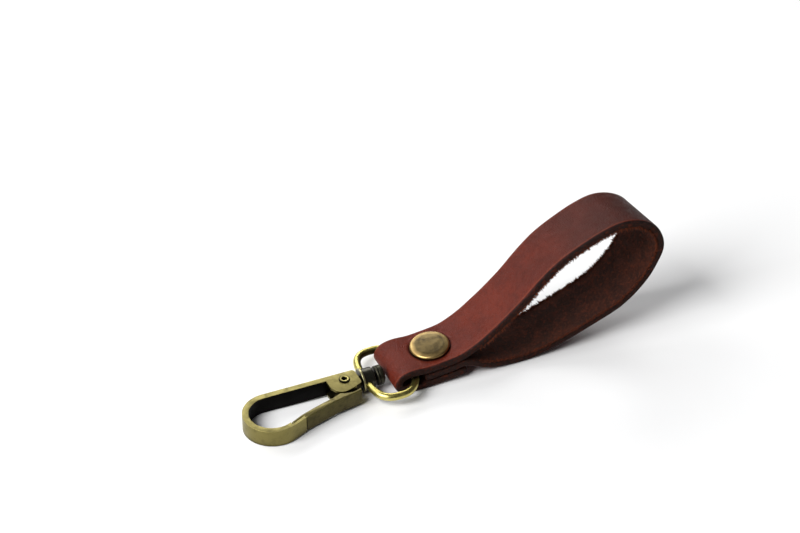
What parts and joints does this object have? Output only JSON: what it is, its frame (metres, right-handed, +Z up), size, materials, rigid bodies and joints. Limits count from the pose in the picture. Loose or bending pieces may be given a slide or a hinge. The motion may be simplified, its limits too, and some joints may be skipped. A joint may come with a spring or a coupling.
{
  "type": "keychain",
  "caption": "Leather strap keychain: a folded strip riveted into a raised finger loop, with a swivel eye and a trigger snap hook in antique brass.",
  "frame": {"origin": "centre of the bounding box's base, on the surface that the keychain lies on", "axes": "+X from the hook to the loop's far bend, +Y across the strap, +Z up"},
  "size_m": [0.1394, 0.0278, 0.0437],
  "materials": {
    "leather": "reddish brown waxed full-grain leather, dark burnished edges, fibrous flesh side",
    "rivet_brass": "antique brass with dark patina and worn rims",
    "eye_brass": "bright yellow brass, lightly tarnished",
    "hook_brass": "antique brass, satin, dark in the recesses",
    "gate_brass": "antique brass, darker on its sides",
    "dark_metal": "blackened antique brass",
    "spring_steel": "bare spring wire"
  },
  "bodies": {
    "strap": {"leather_strap": "leather", "rivet_cap": "rivet_brass", "rivet_post": "rivet_brass"},
    "eye": {"swivel_eye": "eye_brass"},
    "hook": {"hook_body": "hook_brass", "swivel_pin": "dark_metal", "gate_pivot": "hook_brass", "gate_spring": "spring_steel"},
    "gate": {"gate": "gate_brass"}
  },
  "joints": [
    {"name": "eye_swing", "type": "hinge", "parent": "strap", "child": "eye", "pos_m": [-0.01385, 0.00104, 0.00415], "axis": [0, 1, 0], "range_deg": [-11, 11]},
    {"name": "hook_swivel", "type": "hinge", "parent": "eye", "child": "hook", "pos_m": [-0.02995, 0.00104, 0.00376], "axis": [0.9997, 0, 0.0242], "continuous": true},
    {"name": "gate_hinge", "type": "hinge", "parent": "hook", "child": "gate", "pos_m": [-0.03434, 0.00044, 0.00365], "axis": [0.0242, 0, -0.9997], "range_deg": [0, 26], "stiffness_Nm_per_rad": 0.01, "springref_deg": -17.19, "deforming": ["gate_spring"]}
  ]
}
